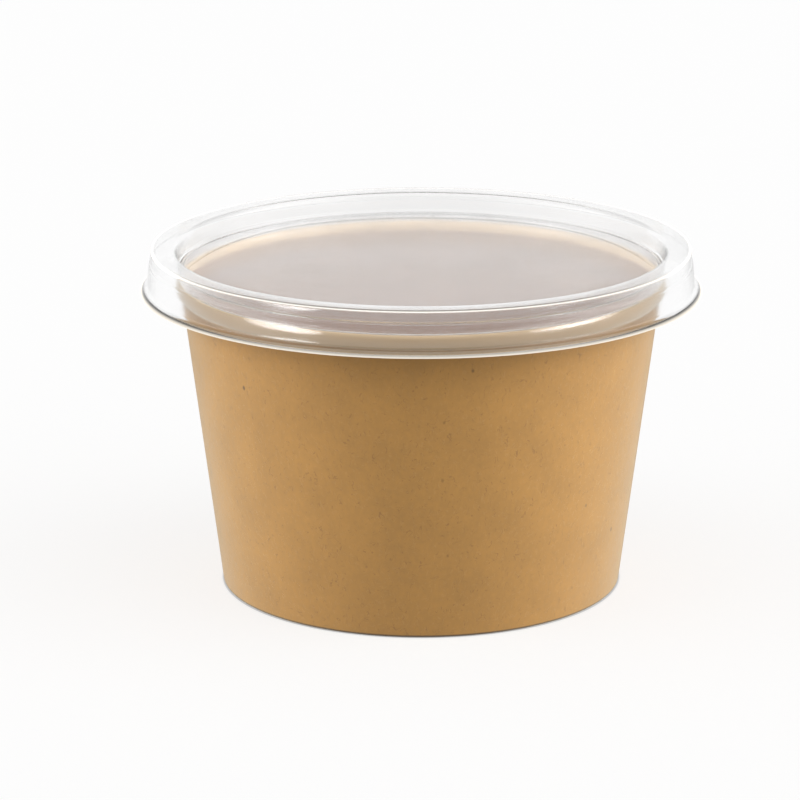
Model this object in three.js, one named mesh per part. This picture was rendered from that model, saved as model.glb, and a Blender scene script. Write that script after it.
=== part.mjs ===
// Takeaway soup container: a kraft paper cup, filled with soup, under a clear plastic lid.
// Millimetres, +Z up. The origin is the middle of the foot, and every piece is turned about Z.
// The front of the cup faces -Y, and the lapped seam of its side wall is at the back, at +Y.
import * as THREE from 'three';

// Cup
const CUP_HEIGHT = 74.5;
const FOOT_RADIUS = 47.9;
const WALL_SLOPE = 0.127;
const PAPER = 0.5;
const NECK_HEIGHT = 71;
const RIM_BEAD_WIDTH = 1.7;
const RIM_BEAD_HEIGHT = 3.4;
const BASE_RECESS = 6;
const FOLD_HEIGHT = 5.4;
const SKIRT_FOOT = 1.3;
const SEAM_RAMP = 5;
const SEAM_LAP = 7;
const SEAM_EDGE = 0.2;

// Soup
const SOUP_LEVEL = 71.8;
const MENISCUS_RISE = 0.35;
const MENISCUS_WIDTH = 2;

// Lid
const FILM = 0.45;
const PANEL_HEIGHT = 78.2;
const PANEL_FLAT_RADIUS = 49.5;
const PANEL_EDGE_RADIUS = 56.4;
const PANEL_EDGE_HEIGHT = 77.1;
const WELL_LOW_RADIUS = 57.5;
const WELL_LOW_HEIGHT = 77.6;
const WELL_HIGH_RADIUS = 58.3;
const RING_INNER_HEIGHT = 81.5;
const RING_OUTER_HEIGHT = 81.75;
const RING_RADIUS = 63.95;
const BAND_FOOT = 78.7;
const SKIRT_RADIUS = 64.35;
const CREASE_RADIUS = 64.85;
const CREASE_HEIGHT = 73.15;
const FLANGE_RADIUS = 66.55;
const FLANGE_HEIGHT = 71.8;

// Clearance between pieces that touch, and the number of flats round the axis
const GAP = 0.3;
const SEGMENTS = 60;

const point = (radius, height) => new THREE.Vector2(radius, height);
const wallRadius = (height) => FOOT_RADIUS + WALL_SLOPE * Math.min(height, NECK_HEIGHT);

// A line through the corners, with each inner corner cut back by its reach and rounded in steps.
function rounded(corners, reach, steps) {
  const line = [corners[0]];
  for (let i = 1; i < corners.length - 1; i += 1) {
    const back = corners[i - 1].clone().sub(corners[i]);
    const ahead = corners[i + 1].clone().sub(corners[i]);
    const cut = Math.min(reach, back.length() * 0.45, ahead.length() * 0.45);
    const start = corners[i].clone().add(back.setLength(cut));
    const end = corners[i].clone().add(ahead.setLength(cut));
    line.push(...new THREE.QuadraticBezierCurve(start, corners[i], end).getPoints(steps));
  }
  line.push(corners[corners.length - 1]);
  return line;
}

// The outline of a sheet of even thickness that follows a centre line.
function sheetOutline(line, thickness) {
  const right = [];
  const left = [];
  line.forEach((here, i) => {
    const arriving = here.clone().sub(line[Math.max(i - 1, 0)]).normalize();
    const leaving = line[Math.min(i + 1, line.length - 1)].clone().sub(here).normalize();
    const along = arriving.clone().add(leaving).normalize();
    const halfTurn = Math.max(along.dot(arriving), along.dot(leaving));
    const offset = point(along.y, -along.x).multiplyScalar(thickness / 2 / halfTurn);
    right.push(here.clone().add(offset));
    left.push(here.clone().sub(offset));
  });
  return [...right, ...left.reverse()];
}

// A solid turned about Z. The outline runs up the outside and down the inside, and one that
// doesn't start on the axis closes on itself.
function turned(outline) {
  const closed = outline[0].x > 0 ? [...outline, outline[0]] : outline;
  return new THREE.LatheGeometry(closed, SEGMENTS).rotateX(Math.PI / 2);
}

// The rolled rim's centre line, from the inside of the mouth over the top and down outside.
function rimCurl() {
  const mouth = wallRadius(NECK_HEIGHT) - PAPER;
  const centre = point(mouth + RIM_BEAD_WIDTH / 2, CUP_HEIGHT - RIM_BEAD_HEIGHT / 2);
  const acrossRadius = (RIM_BEAD_WIDTH - PAPER) / 2;
  const upRadius = (RIM_BEAD_HEIGHT - PAPER) / 2;
  const turnEnd = THREE.MathUtils.degToRad(-85);
  const curl = new THREE.EllipseCurve(centre.x, centre.y, acrossRadius, upRadius, Math.PI, turnEnd, true);
  return curl.getPoints(9);
}

// The side wall's centre line: the fold inside the foot, the foot, the tapered wall and the rim.
function wallLine() {
  const foldInset = 2 * PAPER + 2 * GAP + PAPER;
  const middle = PAPER / 2;
  const corners = [
    point(wallRadius(FOLD_HEIGHT) - foldInset - middle, FOLD_HEIGHT),
    point(wallRadius(0) - foldInset - middle, middle),
    point(wallRadius(0) - middle, middle),
    point(wallRadius(NECK_HEIGHT) - middle, NECK_HEIGHT),
    point(wallRadius(NECK_HEIGHT) - middle, CUP_HEIGHT - RIM_BEAD_HEIGHT),
  ];
  return [...rounded(corners, 0.3, 1).slice(0, -1), ...rimCurl()];
}

// How far the lapped paper lifts the wall's outside, at a distance round the wall from the seam's edge.
function lapLift(distance) {
  if (distance < 0) {
    return 0;
  }
  return PAPER * (1 - THREE.MathUtils.smoothstep(distance, SEAM_LAP, SEAM_LAP + SEAM_RAMP));
}

// Lifts the outside of the wall where the two ends of the paper lap over each other. One half's
// columns of points are spread until the last lies against the seam's edge, so the step is sharp.
function lapSeam(geometry) {
  const position = geometry.attributes.position;
  const pitch = (2 * Math.PI) / SEGMENTS;
  const edgeColumn = SEGMENTS / 2;
  for (let i = 0; i < position.count; i += 1) {
    const height = position.getZ(i);
    const radius = Math.hypot(position.getX(i), position.getY(i));
    const angle = Math.atan2(position.getX(i), -position.getY(i));
    const column = Math.round(angle / pitch + SEGMENTS) % SEGMENTS;
    const spread = (Math.PI - SEAM_EDGE / radius) / (edgeColumn - 1);
    const turn = column * (column < edgeColumn ? spread : pitch);
    const outside = height < CUP_HEIGHT - RIM_BEAD_HEIGHT && radius > wallRadius(height) - PAPER / 2;
    const lifted = radius + (outside ? lapLift((turn - Math.PI) * radius) : 0);
    position.setXY(i, lifted * Math.sin(turn), -lifted * Math.cos(turn));
  }
  return geometry;
}

// The base disc's centre line: flat across, with its edge turned down inside the foot.
function baseLine() {
  const inset = PAPER + GAP + PAPER / 2;
  const height = BASE_RECESS + PAPER / 2;
  return rounded([
    point(0, height),
    point(wallRadius(height) - inset, height),
    point(wallRadius(SKIRT_FOOT) - inset, SKIRT_FOOT),
  ], 0.6, 2);
}

// The soup's outline: from the base disc up the wall to a low meniscus, and level across.
function soupOutline() {
  const bottom = BASE_RECESS + PAPER + GAP;
  const soupRadius = (height) => wallRadius(height) - PAPER - GAP;
  return [
    point(0, bottom),
    point(soupRadius(bottom), bottom),
    point(soupRadius(NECK_HEIGHT), NECK_HEIGHT),
    point(soupRadius(NECK_HEIGHT), SOUP_LEVEL + MENISCUS_RISE),
    point(soupRadius(NECK_HEIGHT) - MENISCUS_WIDTH / 3, SOUP_LEVEL + MENISCUS_RISE / 4),
    point(soupRadius(NECK_HEIGHT) - MENISCUS_WIDTH, SOUP_LEVEL),
    point(0, SOUP_LEVEL),
  ];
}

// The lid's centre line: panel, the groove that stands on the rim, well wall, ring, skirt and flange.
function lidLine() {
  const grooveFoot = CUP_HEIGHT + GAP + FILM / 2;
  const well = rounded([
    point(0, PANEL_HEIGHT),
    point(PANEL_FLAT_RADIUS, PANEL_HEIGHT),
    point(PANEL_EDGE_RADIUS, PANEL_EDGE_HEIGHT),
    point(PANEL_EDGE_RADIUS + 0.3, grooveFoot),
    point(WELL_LOW_RADIUS, grooveFoot),
    point(WELL_LOW_RADIUS, WELL_LOW_HEIGHT),
    point(WELL_HIGH_RADIUS, RING_INNER_HEIGHT),
    point(RING_RADIUS - 2, RING_OUTER_HEIGHT),
  ], 0.22, 1);
  const skirt = rounded([
    point(RING_RADIUS - 2, RING_OUTER_HEIGHT),
    point(RING_RADIUS, RING_OUTER_HEIGHT),
    point(RING_RADIUS + 0.1, BAND_FOOT + 0.2),
    point(SKIRT_RADIUS, BAND_FOOT - 0.2),
    point(CREASE_RADIUS, CREASE_HEIGHT),
    point(FLANGE_RADIUS, FLANGE_HEIGHT),
  ], 0.8, 2);
  return [...well.slice(0, -1), ...skirt.slice(1)];
}

const kraft = new THREE.MeshStandardMaterial({ color: 0xc29a66, roughness: 0.85, metalness: 0 });
const kraftBase = new THREE.MeshStandardMaterial({ color: 0xb98f5a, roughness: 0.85, metalness: 0 });
const brownSoup = new THREE.MeshStandardMaterial({ color: 0x8a5c3c, roughness: 0.3, metalness: 0 });
const clearPlastic = new THREE.MeshStandardMaterial({
  color: 0xf4f6f6,
  roughness: 0.08,
  metalness: 0,
  transparent: true,
  opacity: 0.3,
});

const container = new THREE.Group();

function addPiece(name, geometry, material) {
  const mesh = new THREE.Mesh(geometry, material);
  mesh.name = name;
  container.add(mesh);
}

addPiece('cup_side_wall', lapSeam(turned(sheetOutline(wallLine(), PAPER))), kraft);
addPiece('cup_base_disc', turned(sheetOutline(baseLine(), PAPER)), kraftBase);
addPiece('soup', turned(soupOutline()), brownSoup);
addPiece('lid', turned(sheetOutline(lidLine(), FILM)), clearPlastic);

export default container;
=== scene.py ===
# %% [markdown]
# A takeaway soup cup, dressed for the camera
#
# The real object is four things: a kraft paper cup, the round base glued into its foot,
# the soup, and a clear lid drawn from a warm sheet of plastic. Each is a turned form, so
# each piece here is one outline spun round the cup's axis. The frame is the measured model
# that the pieces have to fit, and it says where everything is.

import math

import bpy
from mathutils import Matrix, Vector


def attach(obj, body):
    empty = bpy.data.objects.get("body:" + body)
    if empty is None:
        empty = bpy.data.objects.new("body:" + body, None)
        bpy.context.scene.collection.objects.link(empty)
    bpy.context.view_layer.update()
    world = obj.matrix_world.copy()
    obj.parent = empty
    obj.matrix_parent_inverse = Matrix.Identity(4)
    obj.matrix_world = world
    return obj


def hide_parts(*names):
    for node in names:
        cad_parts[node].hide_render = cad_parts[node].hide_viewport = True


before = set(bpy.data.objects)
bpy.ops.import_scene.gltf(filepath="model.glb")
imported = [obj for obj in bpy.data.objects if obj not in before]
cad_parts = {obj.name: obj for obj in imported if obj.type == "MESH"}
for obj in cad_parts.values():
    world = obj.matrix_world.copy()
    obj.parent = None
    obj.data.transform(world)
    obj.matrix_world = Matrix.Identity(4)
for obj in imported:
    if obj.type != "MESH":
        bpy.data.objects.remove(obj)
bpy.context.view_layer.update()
MM = 0.001

# %% [markdown]
# The camera
#
# A long lens from nearly a metre away keeps the cup's ellipses quiet, as in the photograph.
# The camera could be aimed with a constraint, but plain numbers for distance, height and
# turn are easier to read and to change one at a time.

# %% Camera
LENS = 166.5
SENSOR_WIDTH = 36
CAMERA_DISTANCE = 888.5 * MM
CAMERA_ELEVATION = math.radians(15.59)
CAMERA_TURN = math.radians(0.325)
AIM_HEIGHT = 43.65 * MM

camera = bpy.data.objects.new("camera", bpy.data.cameras.new("camera"))
bpy.context.scene.collection.objects.link(camera)
camera.data.lens = LENS
camera.data.sensor_width = SENSOR_WIDTH
camera.location = (
    0,
    -CAMERA_DISTANCE * math.cos(CAMERA_ELEVATION),
    AIM_HEIGHT + CAMERA_DISTANCE * math.sin(CAMERA_ELEVATION),
)
tilt = Matrix.Rotation(math.pi / 2 - CAMERA_ELEVATION, 3, "X")
camera.rotation_euler = (tilt @ Matrix.Rotation(CAMERA_TURN, 3, "Y")).to_euler()
bpy.context.scene.camera = camera
print("camera at", [round(value, 3) for value in camera.location])

# %% [markdown]
# Outlines and turning
#
# Paper and plastic film are sheets, so a piece is drawn as the middle line of its sheet and
# thickened by half the sheet to each side. Every corner of the line says how far it is cut
# back and rounded, because neither paper nor drawn film has a knife-sharp fold. A Screw
# modifier could spin the outline, but building the mesh by hand lets a later step lift single
# points, as at the cup's seam.

# %% Helpers for outlines
CORNER_STEPS = 6
LONGEST_CUT = 0.48


def rounded(corners):
    """A line through corners of radius, height and reach, each cut back by its reach and rounded.

    The longest cut is a share of the line to the next corner, for corners that lie close together.
    """
    spots = [Vector(corner[:2]) for corner in corners]
    line = [spots[0]]
    for i in range(1, len(corners) - 1):
        back = spots[i - 1] - spots[i]
        ahead = spots[i + 1] - spots[i]
        cut = min(corners[i][2], back.length * LONGEST_CUT, ahead.length * LONGEST_CUT)
        start = spots[i] + back.normalized() * cut
        end = spots[i] + ahead.normalized() * cut
        for step in range(CORNER_STEPS + 1):
            t = step / CORNER_STEPS
            line.append(start * (1 - t) ** 2 + spots[i] * 2 * t * (1 - t) + end * t ** 2)
    return line + spots[-1:]


def sheet_outline(line, thickness):
    """The outline of a sheet of even thickness along a middle line, with a rounded far edge."""
    right, left = [], []
    for i, here in enumerate(line):
        arriving = (here - line[max(i - 1, 0)]).normalized()
        leaving = (line[min(i + 1, len(line) - 1)] - here).normalized()
        along = (arriving + leaving).normalized()
        half_turn = max(along.dot(arriving), along.dot(leaving))
        offset = Vector((along.y, -along.x)) * (thickness / 2 / half_turn)
        right.append(here + offset)
        left.append(here - offset)
    nose = line[-1] + along * thickness / 2
    return right + [nose] + left[::-1]


# %% Turning an outline into a mesh
TURN_STEPS = 288
ON_AXIS = 1e-9
SHARP_ANGLE = math.radians(50)


def even_angles():
    return [2 * math.pi * step / TURN_STEPS for step in range(TURN_STEPS)]


def turned(name, outline, angles=None):
    """A mesh object made by turning an outline of radius and height about the Z axis."""
    angles = angles or even_angles()
    points, rows = [], []
    for radius, height in outline:
        on_axis = abs(radius) < ON_AXIS
        rows.append([len(points) + (0 if on_axis else i) for i in range(len(angles))])
        for angle in angles[:1] if on_axis else angles:
            points.append((radius * math.sin(angle), -radius * math.cos(angle), height))
    faces = []
    closed = rows if outline[0][0] < ON_AXIS else rows + rows[:1]
    for low, high in zip(closed, closed[1:]):
        for i in range(len(angles)):
            j = (i + 1) % len(angles)
            faces.append(list(dict.fromkeys([low[i], low[j], high[j], high[i]])))
    mesh = bpy.data.meshes.new(name)
    mesh.from_pydata(points, [], [face for face in faces if len(face) > 2])
    mesh.shade_smooth()
    mesh.set_sharp_from_angle(angle=SHARP_ANGLE)
    piece = bpy.data.objects.new(name, mesh)
    bpy.context.scene.collection.objects.link(piece)
    print(name, len(mesh.vertices), "points", len(mesh.polygons), "faces")
    return piece


def dress(piece, node):
    """Lets a piece ride with the cup and take the place of its CAD node."""
    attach(piece, "root")
    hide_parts(node)


# %% [markdown]
# The cup's side wall
#
# A fan-shaped piece of kraft board is rolled into a cone and glued along a lap seam. The top
# edge is curled outward into a bead that stiffens the mouth, and the bottom edge is folded up
# inside the foot, round the base. Here one middle line runs from the fold, round the foot,
# up the taper and over the curl.

# %% Side wall
PAPER = 0.5 * MM
FOOT_RADIUS = 47.9 * MM
WALL_SLOPE = 0.127
NECK_HEIGHT = 71 * MM
CUP_HEIGHT = 74.5 * MM
BEAD_WIDTH = 1.7 * MM
BEAD_HEIGHT = 3.4 * MM
FOLD_HEIGHT = 5.4 * MM
GLUE_GAP = 0.3 * MM
FOOT_BEND = 0.35 * MM
NECK_BEND = 1 * MM
CURL_TURN = 265
CURL_STEPS = 28


def wall_radius(height):
    """The outside of the wall at a height. Above the neck it is upright."""
    return FOOT_RADIUS + WALL_SLOPE * min(height, NECK_HEIGHT)


def wall_line():
    """The wall's middle line: the fold inside the foot, the foot, the taper and the curled bead."""
    half = PAPER / 2
    fold_inset = 3 * PAPER + 2 * GLUE_GAP + half
    bead_middle = CUP_HEIGHT - BEAD_HEIGHT / 2
    wall = rounded([
        (wall_radius(FOLD_HEIGHT) - fold_inset, FOLD_HEIGHT),
        (wall_radius(0) - fold_inset, half, FOOT_BEND),
        (wall_radius(0) - half, half, FOOT_BEND),
        (wall_radius(NECK_HEIGHT) - half, NECK_HEIGHT, NECK_BEND),
        (wall_radius(NECK_HEIGHT) - half, bead_middle),
    ])
    centre = Vector((wall_radius(NECK_HEIGHT) - PAPER + BEAD_WIDTH / 2, bead_middle))
    across = (BEAD_WIDTH - PAPER) / 2
    up = (BEAD_HEIGHT - PAPER) / 2
    curl = []
    for step in range(CURL_STEPS + 1):
        angle = math.radians(180 - CURL_TURN * step / CURL_STEPS)
        curl.append(centre + Vector((across * math.cos(angle), up * math.sin(angle))))
    return wall[:-1] + curl


print("wall line:", len(wall_line()), "points")

# %% [markdown]
# The lap seam
#
# Where the two ends of the fan lie over each other, the outside of the wall is one paper
# thickness higher. It starts with a sharp step and fades out where the under layer ends. A
# separate strip could be laid on, but lifting the wall's own points keeps it one skin. One
# extra column of points just before the seam keeps the step crisp.

# %% Lap seam
SEAM_LAP = 7 * MM
SEAM_RAMP = 5 * MM
SEAM_EDGE = 0.2 * MM
SEAM_TOLERANCE = 1e-6


def seam_angles():
    """The even angles, and one more just before the seam."""
    return sorted(even_angles() + [math.pi - SEAM_EDGE / wall_radius(NECK_HEIGHT)])


def lift_lap(piece):
    """Lifts the wall's outside by one paper where its two ends lie over each other."""
    lifted = 0
    for vertex in piece.data.vertices:
        x, y, height = vertex.co
        radius = math.hypot(x, y)
        past_seam = (math.atan2(x, -y) % (2 * math.pi) - math.pi) * radius
        outside = height < CUP_HEIGHT - BEAD_HEIGHT and radius > wall_radius(height) - PAPER / 2
        if outside and -SEAM_TOLERANCE < past_seam < SEAM_LAP + SEAM_RAMP:
            t = max(0, past_seam - SEAM_LAP) / SEAM_RAMP
            scale = 1 + PAPER * (1 - t * t * (3 - 2 * t)) / radius
            vertex.co.x *= scale
            vertex.co.y *= scale
            lifted += 1
    print("points lifted at the seam:", lifted)


cup_wall = turned("kraft_side_wall", sheet_outline(wall_line(), PAPER), seam_angles())
lift_lap(cup_wall)
dress(cup_wall, "cup_side_wall")

# %% [markdown]
# The base
#
# The base is a disc of the same board, pressed so that its edge turns down inside the foot,
# where it is glued between the wall and the fold. It stands clear of the table, which keeps
# a hot cup from marking it. It is drawn as half of its section, like the wall.

# %% Base disc
BASE_RECESS = 6 * MM
SKIRT_FOOT = 1.3 * MM
BASE_BEND = 0.6 * MM


def base_line():
    inset = PAPER + GLUE_GAP + PAPER / 2
    height = BASE_RECESS + PAPER / 2
    return rounded([
        (0, height),
        (wall_radius(height) - inset, height, BASE_BEND),
        (wall_radius(SKIRT_FOOT) - inset, SKIRT_FOOT),
    ])


base = turned("kraft_base", sheet_outline(base_line(), PAPER))
dress(base, "cup_base_disc")

# %% [markdown]
# The soup
#
# A smooth soup settles level and climbs a little where it wets the paper. That climb, the
# meniscus, is what makes a liquid look wet at its edge. The soup is a solid of its own. Its top
# edge reaches just into the wall, so that no thread of air shows there, and lower down, where
# nothing is seen, it keeps the frame's small gap to the paper.

# %% Soup
SOUP_LEVEL = 71.8 * MM
MENISCUS_RISE = 0.35 * MM
MENISCUS_WIDTH = 2.2 * MM
WETTED_EDGE = 0.06 * MM
MENISCUS_STEPS = 10
LEVEL_RINGS = (0.9, 0.75, 0.5, 0.25, 0.1)


def soup_outline():
    """The soup from the base up the wall, over the meniscus and level to the middle."""
    bottom = BASE_RECESS + PAPER + GLUE_GAP
    edge = wall_radius(NECK_HEIGHT) - PAPER + WETTED_EDGE
    outline = [
        Vector((0, bottom)),
        Vector((wall_radius(bottom) - PAPER - GLUE_GAP, bottom)),
        Vector((edge, NECK_HEIGHT)),
    ]
    for step in range(MENISCUS_STEPS + 1):
        t = step / MENISCUS_STEPS
        outline.append(Vector((edge - MENISCUS_WIDTH * t, SOUP_LEVEL + MENISCUS_RISE * (1 - t) ** 3)))
    for share in LEVEL_RINGS:
        outline.append(Vector((edge * share, SOUP_LEVEL)))
    outline.append(Vector((0, SOUP_LEVEL)))
    return outline


soup = turned("soup_fill", soup_outline())
dress(soup, "soup")

# %% [markdown]
# The lid
#
# The lid is drawn from one sheet of clear film. From the middle outward it has a slightly
# raised panel, a narrow groove that stands on the cup's bead, the wall of the well, a broad
# ring, an upright band, a skirt and a small flared flange. How tightly each fold is rounded
# decides whether it shows as a soft change of tone or as a thin bright or dark line, so the
# reach at each corner is given one by one.

# %% Lid
FILM = 0.35 * MM
GROOVE_FOOT = CUP_HEIGHT + 0.05 * MM + FILM / 2
PANEL_HEIGHT = 78.2 * MM
PANEL_FLAT_RADIUS = 49.5 * MM
PANEL_EDGE_RADIUS = 56.45 * MM
PANEL_EDGE_HEIGHT = 77.1 * MM
WELL_LOW_RADIUS = 57.35 * MM
WELL_STEP_HEIGHT = 77.45 * MM
WELL_HIGH_RADIUS = 58.3 * MM
RING_INNER_HEIGHT = 81.5 * MM
RING_OUTER_HEIGHT = 81.75 * MM
RING_RADIUS = 63.95 * MM
BAND_FOOT = 78.7 * MM
SKIRT_RADIUS = 64.35 * MM
SKIRT_BULGE = 0.07 * MM
CREASE_RADIUS = 64.85 * MM
CREASE_HEIGHT = 73.15 * MM
FLANGE_RADIUS = 66.55 * MM
FLANGE_HEIGHT = 71.8 * MM

# How far single corners stand from the values above, and how far each fold reaches.
GROOVE_LEAN = 0.25 * MM
WELL_STEP_WIDTH = 0.35 * MM
WELL_HALF_STEP = 0.15 * MM
RING_CROWN_INSET = 3.4 * MM
BAND_LEAN = 0.1 * MM
BAND_HALF_STEP = 0.2 * MM
SHARPEST_FOLD = 0.2 * MM
TIGHT_FOLD = 0.3 * MM
EDGE_FOLD = 0.5 * MM
EASY_FOLD = 1 * MM
BULGE_FOLD = 2.2 * MM
PANEL_FOLD = 3 * MM


def lid_line():
    """The lid's middle line, from the panel over the ring to the flange."""
    bulge_radius = (SKIRT_RADIUS + CREASE_RADIUS) / 2 + SKIRT_BULGE
    bulge_height = (BAND_FOOT + CREASE_HEIGHT) / 2
    return rounded([
        (0, PANEL_HEIGHT),
        (PANEL_FLAT_RADIUS, PANEL_HEIGHT, PANEL_FOLD),
        (PANEL_EDGE_RADIUS, PANEL_EDGE_HEIGHT, TIGHT_FOLD),
        (PANEL_EDGE_RADIUS + GROOVE_LEAN, GROOVE_FOOT, TIGHT_FOLD),
        (WELL_LOW_RADIUS, GROOVE_FOOT, TIGHT_FOLD),
        (WELL_LOW_RADIUS, WELL_STEP_HEIGHT - WELL_HALF_STEP, SHARPEST_FOLD),
        (WELL_LOW_RADIUS + WELL_STEP_WIDTH, WELL_STEP_HEIGHT + WELL_HALF_STEP, SHARPEST_FOLD),
        (WELL_HIGH_RADIUS, RING_INNER_HEIGHT, EASY_FOLD),
        (RING_RADIUS - RING_CROWN_INSET, RING_OUTER_HEIGHT, EASY_FOLD),
        (RING_RADIUS, RING_OUTER_HEIGHT, EDGE_FOLD),
        (RING_RADIUS + BAND_LEAN, BAND_FOOT + BAND_HALF_STEP, TIGHT_FOLD),
        (SKIRT_RADIUS, BAND_FOOT - BAND_HALF_STEP, TIGHT_FOLD),
        (bulge_radius, bulge_height, BULGE_FOLD),
        (CREASE_RADIUS, CREASE_HEIGHT, EDGE_FOLD),
        (FLANGE_RADIUS, FLANGE_HEIGHT),
    ])


lid = turned("clear_lid", sheet_outline(lid_line(), FILM))
dress(lid, "lid")


# %% [markdown]
# Node helpers
#
# Every finish below is a small network of shader nodes. A few helpers keep the networks short
# enough to read: they add a node with its settings and inputs, do sums, ease between limits,
# blend colours, measure the distance from the cup's axis and start a material. The two values
# at the top are those between which a noise usually keeps.

# %% Node helpers
USUAL_NOISE = 0.3, 0.7


def add(tree, kind, inputs=(), **settings):
    """Adds a node. An input is either a value or the output of another node."""
    node = tree.nodes.new("ShaderNode" + kind)
    for name, value in settings.items():
        setattr(node, name, value)
    for name, value in dict(inputs).items():
        if isinstance(value, bpy.types.NodeSocket):
            tree.links.new(value, node.inputs[name])
        else:
            node.inputs[name].default_value = value
    return node


def math_of(tree, operation, *values):
    return add(tree, "Math", dict(enumerate(values)), operation=operation).outputs[0]


def smooth_step(tree, value, start, end, low=0.0, high=1.0):
    limits = {"Value": value, "From Min": start, "From Max": end, "To Min": low, "To Max": high}
    return add(tree, "MapRange", limits, interpolation_type="SMOOTHSTEP").outputs["Result"]


def blend(tree, share, first, second):
    return add(tree, "Mix", {0: share, 6: first, 7: second}, data_type="RGBA").outputs[2]


def between(tree, share, low, high):
    return add(tree, "Mix", {0: share, 2: low, 3: high}, data_type="FLOAT").outputs[0]


def distance_from_axis(tree, place):
    flat = add(tree, "VectorMath", {0: place, 1: (1, 1, 0)}, operation="MULTIPLY").outputs[0]
    return add(tree, "VectorMath", {0: flat}, operation="LENGTH").outputs["Value"]


def new_material(name):
    material = bpy.data.materials.new(name)
    material.use_nodes = True
    return material, material.node_tree, material.node_tree.nodes["Principled BSDF"]


# %% [markdown]
# Kraft paper, as a node group
#
# Unbleached kraft is never one brown. Its pulp clouds the sheet in soft patches, short
# fibres curl through it, some pale and some dark, and now and then a speck of bark is left.
# Both the wall and the base are cut from it, so it is built once as a node group and given
# each part's own colours. A fibre is a thin band of a distorted noise: where the noise
# crosses its middle value it draws a curling line, and a second noise breaks that line up.

# %% Fibre lines
CURLINESS = 1.2
BREAK_SCALE = 1.7
BREAK_SOFTNESS = 0.08


def thin_lines(tree, position, scale, width, breaks):
    """Short curling lines where a distorted noise crosses its middle value."""
    curl = {"Vector": position, "Scale": scale, "Detail": 1, "Distortion": CURLINESS}
    curls = add(tree, "TexNoise", curl)
    off_middle = math_of(tree, "ABSOLUTE", math_of(tree, "SUBTRACT", curls.outputs["Fac"], 0.5))
    lines = smooth_step(tree, off_middle, width, 0.0)
    gaps = add(tree, "TexNoise", {"Vector": position, "Scale": scale * BREAK_SCALE, "Detail": 0})
    kept = smooth_step(tree, gaps.outputs["Fac"], breaks, breaks + BREAK_SOFTNESS)
    return math_of(tree, "MULTIPLY", lines, kept)


# %% Kraft group
UPRIGHT_STRETCH = (1, 1, 0.75)
SHIFT = (0.3, 0.1, 0.2)
CLOUD_SCALE = 95
PULP_SCALE = 900
PULP_AMOUNT = 0.25
DARK_FIBRES = {"scale": 500, "width": 0.02, "breaks": 0.52}
DARK_FIBRE_STRENGTH = 0.6
PALE_FIBRES = {"scale": 620, "width": 0.025, "breaks": 0.52}
PALE_FIBRE_STRENGTH = 0.16
SPECK_SCALE = 150
SPECK_LOT = 0.72, 0.74
SPECK_EDGE = 0.09, 0.03
BARK_VALUE = 0.3
KRAFT_ROUGHNESS = 0.48, 0.6


def kraft_group():
    """The paper's colour, roughness and relief, from a brown and two fibre colours."""
    group = bpy.data.node_groups.new("kraft fibres", "ShaderNodeTree")
    for name in ("Paper Colour", "Dark Fibre Colour", "Pale Fibre Colour"):
        group.interface.new_socket(name, in_out="INPUT", socket_type="NodeSocketColor")
    for name in ("Mottling", "Specks"):
        group.interface.new_socket(name, in_out="INPUT", socket_type="NodeSocketFloat")
    group.interface.new_socket("Colour", in_out="OUTPUT", socket_type="NodeSocketColor")
    for name in ("Roughness", "Height"):
        group.interface.new_socket(name, in_out="OUTPUT", socket_type="NodeSocketFloat")
    given = group.nodes.new("NodeGroupInput").outputs
    place = add(group, "TexCoord").outputs["Object"]
    upright = add(group, "Mapping", {"Vector": place, "Scale": UPRIGHT_STRETCH}).outputs["Vector"]
    shifted = add(group, "Mapping", {"Vector": upright, "Location": SHIFT}).outputs["Vector"]

    clouds = add(group, "TexNoise", {"Vector": place, "Scale": CLOUD_SCALE, "Detail": 3}).outputs["Fac"]
    pulp = add(group, "TexNoise", {"Vector": upright, "Scale": PULP_SCALE, "Detail": 2}).outputs["Fac"]
    dark = thin_lines(group, upright, **DARK_FIBRES)
    pale = thin_lines(group, shifted, **PALE_FIBRES)
    cells = add(group, "TexVoronoi", {"Vector": shifted, "Scale": SPECK_SCALE})
    lot = add(group, "SeparateColor", {0: cells.outputs["Color"]}).outputs[0]
    chosen = smooth_step(group, lot, *SPECK_LOT)
    dots = smooth_step(group, cells.outputs["Distance"], *SPECK_EDGE)
    specks = math_of(group, "MULTIPLY", dots, chosen)
    darkened = {"Color": given["Dark Fibre Colour"], "Value": BARK_VALUE}
    bark = add(group, "HueSaturation", darkened).outputs["Color"]

    cloudy = math_of(group, "MULTIPLY", math_of(group, "SUBTRACT", clouds, 0.5), given["Mottling"])
    grainy = math_of(group, "MULTIPLY", math_of(group, "SUBTRACT", pulp, 0.5), PULP_AMOUNT)
    value = math_of(group, "ADD", math_of(group, "ADD", cloudy, grainy), 1.0)
    toned = add(group, "HueSaturation", {"Color": given["Paper Colour"], "Value": value}).outputs["Color"]
    dark_share = math_of(group, "MULTIPLY", dark, DARK_FIBRE_STRENGTH)
    with_dark = blend(group, dark_share, toned, given["Dark Fibre Colour"])
    pale_share = math_of(group, "MULTIPLY", pale, PALE_FIBRE_STRENGTH)
    with_pale = blend(group, pale_share, with_dark, given["Pale Fibre Colour"])
    speckled = math_of(group, "MULTIPLY", specks, given["Specks"])
    colour = blend(group, speckled, with_pale, bark)

    out = group.nodes.new("NodeGroupOutput").inputs
    group.links.new(colour, out["Colour"])
    group.links.new(smooth_step(group, pulp, *USUAL_NOISE, *KRAFT_ROUGHNESS), out["Roughness"])
    group.links.new(math_of(group, "ADD", pale, pulp), out["Height"])
    return group


kraft_fibres = kraft_group()
print("kraft group:", len(kraft_fibres.nodes), "nodes")
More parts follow.
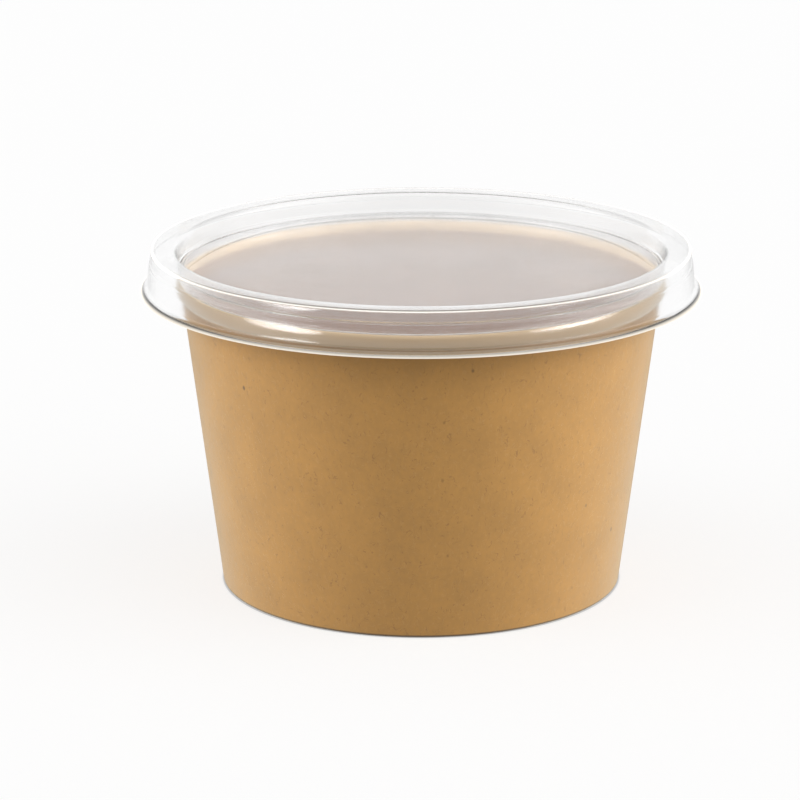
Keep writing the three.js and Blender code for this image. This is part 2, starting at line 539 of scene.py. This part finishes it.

# %% [markdown]
# The two kraft materials
#
# The outside of the wall is bare board, with a low sheen from its short fibres. Its inside is
# lined with a thin film that keeps the soup in, and the rolled rim turns that side outward. In
# the photograph the rim is paler than the wall, and the edge that stands on the table is a thin
# dark line. So masks of place give the inside and the rim a paler brown and a clear coat, and
# paint shade along that edge. The paler brown is partly the lined side's own tone and partly
# painted light for the sheen that the rim catches. The base differs only in its colours,
# amounts and relief.

# %% Kraft board
SHEEN_WEIGHT = 0.75
SHEEN_ROUGHNESS = 0.45
SHEEN_TINT = (1, 0.97, 0.8, 1)


def kraft_material(name, amounts, relief):
    material, tree, shader = new_material(name)
    fibres = tree.nodes.new("ShaderNodeGroup")
    fibres.node_tree = kraft_fibres
    for socket, value in amounts.items():
        fibres.inputs[socket].default_value = value
    bump = add(tree, "Bump", {"Height": fibres.outputs["Height"], "Distance": relief, "Strength": 1})
    tree.links.new(fibres.outputs["Colour"], shader.inputs["Base Color"])
    tree.links.new(fibres.outputs["Roughness"], shader.inputs["Roughness"])
    tree.links.new(bump.outputs["Normal"], shader.inputs["Normal"])
    shader.inputs["Sheen Weight"].default_value = SHEEN_WEIGHT
    shader.inputs["Sheen Roughness"].default_value = SHEEN_ROUGHNESS
    shader.inputs["Sheen Tint"].default_value = SHEEN_TINT
    print(name, "starts with", len(tree.nodes), "nodes")
    return material


# %% Wall material
WALL_RELIEF = 0.015 * MM
INSIDE_FACE = FOOT_RADIUS - PAPER * 0.6, FOOT_RADIUS - PAPER * 0.8
RIM_BAND = NECK_HEIGHT - 0.8 * MM, NECK_HEIGHT - 0.2 * MM
# Painted shade: the lowest part of the wall is darkened for the thin dark line at the foot.
FOOT_SHADE_BAND = 0.8 * MM, 0.4 * MM
# A paler brown for the lined side, partly its own tone and partly painted light for the sheen on the rim.
LINING_AND_SHEEN_COLOUR = (0.78, 0.58, 0.34, 1)
LINING_AND_SHEEN_INSIDE = 0.15
LINING_AND_SHEEN_ON_RIM = 0.7
LINING_ROUGHNESS = 0.25
FOOT_SHADE_COLOUR = (0.05, 0.028, 0.015, 1)
FOOT_SHADE_STRENGTH = 0.85


def place_masks(tree):
    """Masks of the wall's inside, of its rolled rim and of the painted shade along the edge it stands on."""
    place = add(tree, "TexCoord").outputs["Object"]
    height = add(tree, "SeparateXYZ", {0: place}).outputs["Z"]
    taper = math_of(tree, "MULTIPLY", height, WALL_SLOPE)
    from_foot = math_of(tree, "SUBTRACT", distance_from_axis(tree, place), taper)
    inside = smooth_step(tree, from_foot, *INSIDE_FACE)
    rim = smooth_step(tree, height, *RIM_BAND)
    foot_shade = smooth_step(tree, height, *FOOT_SHADE_BAND)
    return inside, rim, foot_shade


wall_kraft = kraft_material("kraft paper", {
    "Paper Colour": (0.37, 0.184, 0.037, 1),
    "Dark Fibre Colour": (0.2, 0.09, 0.022, 1),
    "Pale Fibre Colour": (0.52, 0.32, 0.12, 1),
    "Mottling": 0.32,
    "Specks": 0.8,
}, WALL_RELIEF)
wall_tree = wall_kraft.node_tree
wall_shader = wall_tree.nodes["Principled BSDF"]
inside, rim, foot_shade = place_masks(wall_tree)
bare = wall_shader.inputs["Base Color"].links[0].from_socket
# Paler brown on the inside and the rim: the lined side's tone and painted light for the rim's sheen.
inside_lining_and_sheen = math_of(wall_tree, "MULTIPLY", inside, LINING_AND_SHEEN_INSIDE)
rim_lining_and_sheen = math_of(wall_tree, "MULTIPLY", rim, LINING_AND_SHEEN_ON_RIM)
lining_and_sheen_share = math_of(wall_tree, "MAXIMUM", inside_lining_and_sheen, rim_lining_and_sheen)
lining_and_sheen = blend(wall_tree, lining_and_sheen_share, bare, LINING_AND_SHEEN_COLOUR)
# Painted shade along the edge that the wall stands on.
foot_shade_share = math_of(wall_tree, "MULTIPLY", foot_shade, FOOT_SHADE_STRENGTH)
foot_shaded = blend(wall_tree, foot_shade_share, lining_and_sheen, FOOT_SHADE_COLOUR)
wall_tree.links.new(foot_shaded, wall_shader.inputs["Base Color"])
wall_tree.links.new(math_of(wall_tree, "MAXIMUM", inside, rim), wall_shader.inputs["Coat Weight"])
wall_shader.inputs["Coat Roughness"].default_value = LINING_ROUGHNESS
cup_wall.data.materials.append(wall_kraft)
print("with its masks:", len(wall_tree.nodes), "nodes")

# %% Base material
BASE_RELIEF = 0.03 * MM

base.data.materials.append(kraft_material("kraft base board", {
    "Paper Colour": (0.5, 0.25, 0.065, 1),
    "Dark Fibre Colour": (0.24, 0.11, 0.03, 1),
    "Pale Fibre Colour": (0.66, 0.42, 0.17, 1),
    "Mottling": 0.35,
    "Specks": 0.6,
}, BASE_RELIEF))

# %% [markdown]
# The soup's finish
#
# A blended soup is opaque and nearly even in colour, with faint drifts where it was stirred.
# Its wet surface is what the eye reads, so it gets the reflectance of water and a low, only
# slightly uneven roughness. The drifts are a large distorted noise between two close browns.

# %% Soup material
SWIRL = {"Scale": 28, "Detail": 4, "Distortion": 2}
SWIRL_LIMITS = 0.35, 0.65
DEEP_BROWN = (0.34, 0.184, 0.118, 1)
LIGHT_BROWN = (0.38, 0.21, 0.136, 1)
SOUP_ROUGHNESS = 0.1, 0.16
SOUP_PULP_SCALE = 600
SOUP_RELIEF = 0.004 * MM
SOUP_IOR = 1.34


def soup_material():
    material, tree, shader = new_material("brown soup")
    place = add(tree, "TexCoord").outputs["Object"]
    drifts = add(tree, "TexNoise", {"Vector": place, **SWIRL}).outputs["Fac"]
    pulp = add(tree, "TexNoise", {"Vector": place, "Scale": SOUP_PULP_SCALE, "Detail": 2}).outputs["Fac"]
    colour = blend(tree, smooth_step(tree, drifts, *SWIRL_LIMITS), DEEP_BROWN, LIGHT_BROWN)
    tree.links.new(colour, shader.inputs["Base Color"])
    tree.links.new(smooth_step(tree, drifts, *USUAL_NOISE, *SOUP_ROUGHNESS), shader.inputs["Roughness"])
    bump = add(tree, "Bump", {"Height": pulp, "Distance": SOUP_RELIEF, "Strength": 1})
    tree.links.new(bump.outputs["Normal"], shader.inputs["Normal"])
    shader.inputs["IOR"].default_value = SOUP_IOR
    print("soup material:", len(tree.nodes), "nodes")
    return material


soup.data.materials.append(soup_material())

# %% [markdown]
# The lid's finish
#
# Clear film is glass-like: it bends and mirrors light, and never has a colour of its own.
# Drawn film is also a little wavy and faintly hazy, so a slow noise tilts its surface and
# changes its roughness. Light that enters the film leaves at its cut edge and at its tightest
# fold, which is why the rim of a clear lid looks bright. Here that is a painted glow: masks of
# height and of the distance from the axis make that edge and that fold emit light. Light on its
# way to the paper and the soup meets a plain see-through shader instead, or they would sit in
# the dark. The steep and folded outer part lets less of it through, and that leaves the soft
# shade on the paper under the lid.

# %% Lid material
WAVE_SCALE = 70
WAVE_RELIEF = 0.006 * MM
FILM_ROUGHNESS = 0.04, 0.08
FILM_IOR = 1.5
FILM_TINT = (0.995, 0.995, 0.995, 1)
# Painted glow: the lid's cut edge and ring fold emit light, though the lid is no lamp.
FLANGE_EDGE = FLANGE_RADIUS - 0.6 * MM, FLANGE_RADIUS
RING_TOP = RING_OUTER_HEIGHT - 0.6 * MM, RING_OUTER_HEIGHT
RING_ROUNDING = RING_RADIUS - 0.6 * MM, RING_RADIUS - 0.2 * MM
PAINTED_SHOULDER_GLOW = 0.6
UNLIT = (0, 0, 0, 1)
PAINTED_EDGE_LIGHT = (0.5, 0.46, 0.4, 1)
PASSED_INSIDE = (0.97, 0.97, 0.97, 1)
PASSED_OUTSIDE = (0.55, 0.53, 0.51, 1)


def painted_edge_glow(tree, radius, height):
    """The painted glow, an emission colour, that the flange's edge and the ring's outer fold shine with."""
    edge = smooth_step(tree, radius, *FLANGE_EDGE)
    top = smooth_step(tree, height, *RING_TOP)
    rounding = smooth_step(tree, radius, *RING_ROUNDING)
    shoulder = math_of(tree, "MULTIPLY", math_of(tree, "MULTIPLY", top, rounding), PAINTED_SHOULDER_GLOW)
    return blend(tree, math_of(tree, "MAXIMUM", edge, shoulder), UNLIT, PAINTED_EDGE_LIGHT)


def lid_material():
    material, tree, shader = new_material("clear plastic")
    place = add(tree, "TexCoord").outputs["Object"]
    waves = add(tree, "TexNoise", {"Vector": place, "Scale": WAVE_SCALE, "Detail": 2}).outputs["Fac"]
    bump = add(tree, "Bump", {"Height": waves, "Distance": WAVE_RELIEF, "Strength": 1})
    tree.links.new(bump.outputs["Normal"], shader.inputs["Normal"])
    tree.links.new(smooth_step(tree, waves, *USUAL_NOISE, *FILM_ROUGHNESS), shader.inputs["Roughness"])
    radius = distance_from_axis(tree, place)
    height = add(tree, "SeparateXYZ", {0: place}).outputs["Z"]
    # The painted glow goes into the emission colour.
    tree.links.new(painted_edge_glow(tree, radius, height), shader.inputs["Emission Color"])
    shader.inputs["Emission Strength"].default_value = 1
    shader.inputs["Base Color"].default_value = FILM_TINT
    shader.inputs["IOR"].default_value = FILM_IOR
    shader.inputs["Transmission Weight"].default_value = 1
    outer = smooth_step(tree, radius, WELL_HIGH_RADIUS, CREASE_RADIUS)
    passed = blend(tree, outer, PASSED_INSIDE, PASSED_OUTSIDE)
    see_through = add(tree, "BsdfTransparent", {"Color": passed})
    path = add(tree, "LightPath").outputs
    lighting = math_of(tree, "MAXIMUM", path["Is Shadow Ray"], path["Is Diffuse Ray"])
    shaders = {0: lighting, 1: shader.outputs["BSDF"], 2: see_through.outputs["BSDF"]}
    choice = add(tree, "MixShader", shaders)
    tree.links.new(choice.outputs["Shader"], tree.nodes["Material Output"].inputs["Surface"])
    print("lid material:", len(tree.nodes), "nodes")
    return material


lid.data.materials.append(lid_material())

# %% [markdown]
# The floor
#
# A photographer's white sweep is lit almost to pure white, yet still shows a faint shadow at
# the cup's foot. The floor here reflects part of its light and glows for the rest, so the
# shadow stays soft and pale. For the light that it throws on to the paper the glow is turned
# down, or the cup would be lit mostly from below. Right at the foot the glow is turned down as
# well, a painted shadow where the paper touches the floor and hardly any light gets in.

# %% Floor
FLOOR_SIZE = 12
FLOOR_GLOW = 0.74
FLOOR_FILL = 0.04
CONTACT_SHADOW_GLOW = 0.4
CONTACT_SHADOW_WIDTH = 0.5 * MM
FLOOR_GREY = (0.3, 0.3, 0.3, 1)
FLOOR_ROUGHNESS = 0.8


def floor_material():
    material, tree, shader = new_material("white sweep")
    shader.inputs["Base Color"].default_value = FLOOR_GREY
    shader.inputs["Roughness"].default_value = FLOOR_ROUGHNESS
    shader.inputs["Specular IOR Level"].default_value = 0
    shader.inputs["Emission Color"].default_value = (1, 1, 1, 1)
    away = distance_from_axis(tree, add(tree, "TexCoord").outputs["Object"])
    # Painted shadow: the floor's glow is lower in a thin ring round the foot.
    contact_shadow = FOOT_RADIUS, FOOT_RADIUS + CONTACT_SHADOW_WIDTH
    glow = smooth_step(tree, away, *contact_shadow, CONTACT_SHADOW_GLOW, FLOOR_GLOW)
    bounced = add(tree, "LightPath").outputs["Is Diffuse Ray"]
    tree.links.new(between(tree, bounced, glow, FLOOR_FILL), shader.inputs["Emission Strength"])
    return material


half = FLOOR_SIZE / 2
mesh = bpy.data.meshes.new("floor")
mesh.from_pydata([(-half, -half, 0), (half, -half, 0), (half, half, 0), (-half, half, 0)], [], [(0, 1, 2, 3)])
mesh.materials.append(floor_material())
floor = bpy.data.objects.new("floor", mesh)
bpy.context.scene.collection.objects.link(floor)
print("floor", FLOOR_SIZE, "m wide")

# %% [markdown]
# The light
#
# Soft white surroundings do most of the work. They could be a set of large area lights, but a
# world whose strength depends on direction gives smoother reflections with less noise. Low
# behind the cup it is bright, which is what the lid's flat panel mirrors. Higher up behind it
# is dim, so that the soup shows brown through the panel's sloping edge. The front is dim too,
# which keeps the middle of the wall deep, and the light from overhead is stronger in front.

# %% Surroundings
FRONT_LOW, FRONT_HIGH = 0.2, 0.3
BEHIND_LOW, BEHIND_HIGH = 0.98, 0.25
FRONT_OVERHEAD, BEHIND_OVERHEAD = 1.2, 0.6
LEFT_SIDE, RIGHT_SIDE = 1.0, 1.2

# Each pair says between which two values of the direction's X, Y or Z one light turns into the next.
LOW_Y = -0.9, 0.0
HIGH_Y = -0.5, 0.3
OVERHEAD_Y = -0.5, 0.1
LOW_TO_HIGH_Z = 0.36, 0.47
HIGH_TO_OVERHEAD_Z = 0.66, 0.8
LEFT_X = -0.35, -0.95
RIGHT_X = 0.2, 0.9
SIDES_Y = 0.5, 0.0
SIDES_Z = 0.08, 0.2


def studio_world():
    world = bpy.data.worlds.new("studio")
    world.use_nodes = True
    tree = world.node_tree
    heading = add(tree, "SeparateXYZ", {0: add(tree, "TexCoord").outputs["Generated"]}).outputs
    low = smooth_step(tree, heading["Y"], *LOW_Y, FRONT_LOW, BEHIND_LOW)
    high = smooth_step(tree, heading["Y"], *HIGH_Y, FRONT_HIGH, BEHIND_HIGH)
    sky = between(tree, smooth_step(tree, heading["Z"], *LOW_TO_HIGH_Z), low, high)
    overhead = smooth_step(tree, heading["Y"], *OVERHEAD_Y, FRONT_OVERHEAD, BEHIND_OVERHEAD)
    sky = between(tree, smooth_step(tree, heading["Z"], *HIGH_TO_OVERHEAD_Z), sky, overhead)
    left = smooth_step(tree, heading["X"], *LEFT_X, 0.0, LEFT_SIDE)
    right = smooth_step(tree, heading["X"], *RIGHT_X, 0.0, RIGHT_SIDE)
    not_behind = smooth_step(tree, heading["Y"], *SIDES_Y)
    beside = math_of(tree, "MULTIPLY", math_of(tree, "ADD", left, right), not_behind)
    raised = math_of(tree, "MULTIPLY", beside, smooth_step(tree, heading["Z"], *SIDES_Z))
    strength = math_of(tree, "ADD", sky, raised)
    tree.links.new(strength, tree.nodes["Background"].inputs["Strength"])
    tree.nodes["Background"].inputs["Color"].default_value = (1, 1, 1, 1)
    print("world:", len(tree.nodes), "nodes")
    return world


bpy.context.scene.world = studio_world()

# %% [markdown]
# The softboxes
#
# Two big softboxes, one at each side, light the paper, so that the round wall runs from pale
# edges to a deep middle. Two low, narrow ones nearer the camera leave the long highlights on
# the lid's skirt. All four are elliptical, because the reflection of an ellipse tapers at both
# ends as the highlights in the photograph do. A photographer keeps such light off the other
# surfaces with grids and black card. Here that is the light's spread and its light linking.

# %% Softboxes
OPEN = math.radians(90)
GRID = math.radians(30)


def softbox(name, receiver, azimuth, height, distance, width, depth, radiance, grid):
    """An upright flat light facing the cup's axis. Azimuth 0 degrees is the front, 90 the right."""
    light = bpy.data.lights.new(name, "AREA")
    light.shape = "ELLIPSE"
    light.size, light.size_y = width, depth
    light.spread = 2 * grid
    narrowing = 1 - grid / math.tan(grid)
    light.energy = radiance * math.pi * width * depth * narrowing
    lamp_target = bpy.data.collections.new(name + " target")
    lamp_target.objects.link(receiver)
    lamp = bpy.data.objects.new(name, light)
    lamp.light_linking.receiver_collection = lamp_target
    bpy.context.scene.collection.objects.link(lamp)
    a = math.radians(azimuth)
    out = Vector((math.sin(a), -math.cos(a), 0))
    lamp.location = out * distance + Vector((0, 0, height))
    lamp.rotation_mode = "QUATERNION"
    lamp.rotation_quaternion = out.to_track_quat("Z", "Y")
    print(name, "at", [round(value, 3) for value in lamp.location])
    return lamp


side = {"height": 0.5, "distance": 1, "width": 0.93, "depth": 0.81, "grid": OPEN}
strip = {"height": 0.046, "distance": 0.45, "radiance": 9, "grid": GRID}
softbox("side_left", cup_wall, azimuth=-75, radiance=6.5, **side)
softbox("side_right", cup_wall, azimuth=75, radiance=7.5, **side)
softbox("strip_left", lid, azimuth=-55, width=0.28, depth=0.023, **strip)
softbox("strip_right", lid, azimuth=63, width=0.36, depth=0.012, **strip)

# %% [markdown]
# Finish
#
# The Standard view keeps white paper white and the kraft as saturated as it was painted.
# Light has to pass several layers of film on its way in and out, so the bounce limits are
# raised.

scene = bpy.context.scene
scene.view_settings.view_transform = "Standard"
scene.cycles.max_bounces = 20
scene.cycles.transmission_bounces = 16
scene.cycles.transparent_max_bounces = 24
